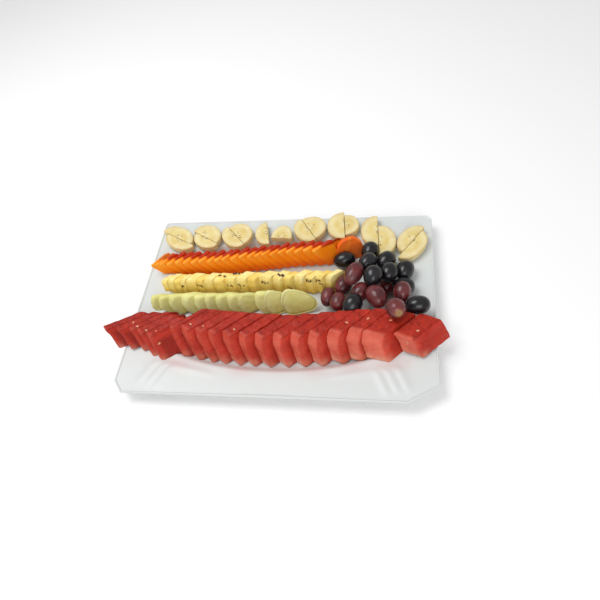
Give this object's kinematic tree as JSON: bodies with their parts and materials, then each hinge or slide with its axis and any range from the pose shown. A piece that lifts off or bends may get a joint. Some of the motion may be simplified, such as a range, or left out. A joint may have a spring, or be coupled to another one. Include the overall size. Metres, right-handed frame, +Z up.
{
  "type": "fruit platter",
  "caption": "White rectangular dish with fanned watermelon, rows of melon, pineapple and papaya slices, halved banana slices and loose grapes.",
  "frame": {"origin": "centre of the arrangement's bounding box in plan, on the plane the dish stands on", "axes": "+X along the long side of the dish and along the fruit rows, +Y from the watermelon towards the banana, +Z up"},
  "size_m": [0.3906, 0.254, 0.0663],
  "materials": {
    "ware": "glossy white glaze",
    "watermelon": "wet cut flesh",
    "honeydew": "wet cut flesh",
    "pineapple": "wet cut flesh",
    "papaya": "wet cut flesh",
    "banana": "matt cut flesh",
    "black_grape": "satin skin with bloom",
    "red_grape": "satin skin with bloom"
  },
  "bodies": {
    "root": {"platter": "ware", "watermelon_1": "watermelon", "watermelon_2": "watermelon", "watermelon_3": "watermelon", "watermelon_4": "watermelon", "watermelon_5": "watermelon", "watermelon_6": "watermelon", "watermelon_7": "watermelon", "watermelon_8": "watermelon", "watermelon_9": "watermelon", "watermelon_10": "watermelon", "watermelon_11": "watermelon", "watermelon_12": "watermelon", "watermelon_13": "watermelon", "watermelon_14": "watermelon", "watermelon_15": "watermelon", "watermelon_16": "watermelon", "watermelon_17": "watermelon", "watermelon_18": "watermelon", "watermelon_19": "watermelon", "honeydew_row": "honeydew", "pineapple_row": "pineapple", "papaya_row": "papaya", "papaya_end": "papaya", "banana_1": "banana", "banana_2": "banana", "banana_3": "banana", "banana_4": "banana", "banana_5": "banana", "banana_6": "banana", "banana_7": "banana", "banana_8": "banana", "banana_9": "banana", "banana_10": "banana", "banana_11": "banana", "banana_12": "banana", "banana_13": "banana", "banana_14": "banana", "banana_15": "banana", "banana_16": "banana", "grape_black_1": "black_grape", "grape_black_2": "black_grape", "grape_black_3": "black_grape", "grape_black_4": "black_grape", "grape_black_5": "black_grape", "grape_black_6": "black_grape", "grape_black_7": "black_grape", "grape_black_8": "black_grape", "grape_black_9": "black_grape", "grape_black_10": "black_grape", "grape_red_1": "red_grape", "grape_red_2": "red_grape", "grape_red_3": "red_grape", "grape_red_4": "red_grape", "grape_red_5": "red_grape", "grape_red_6": "red_grape", "grape_red_7": "red_grape", "grape_red_8": "red_grape", "grape_red_9": "red_grape", "grape_red_10": "red_grape"}
  },
  "joints": []
}
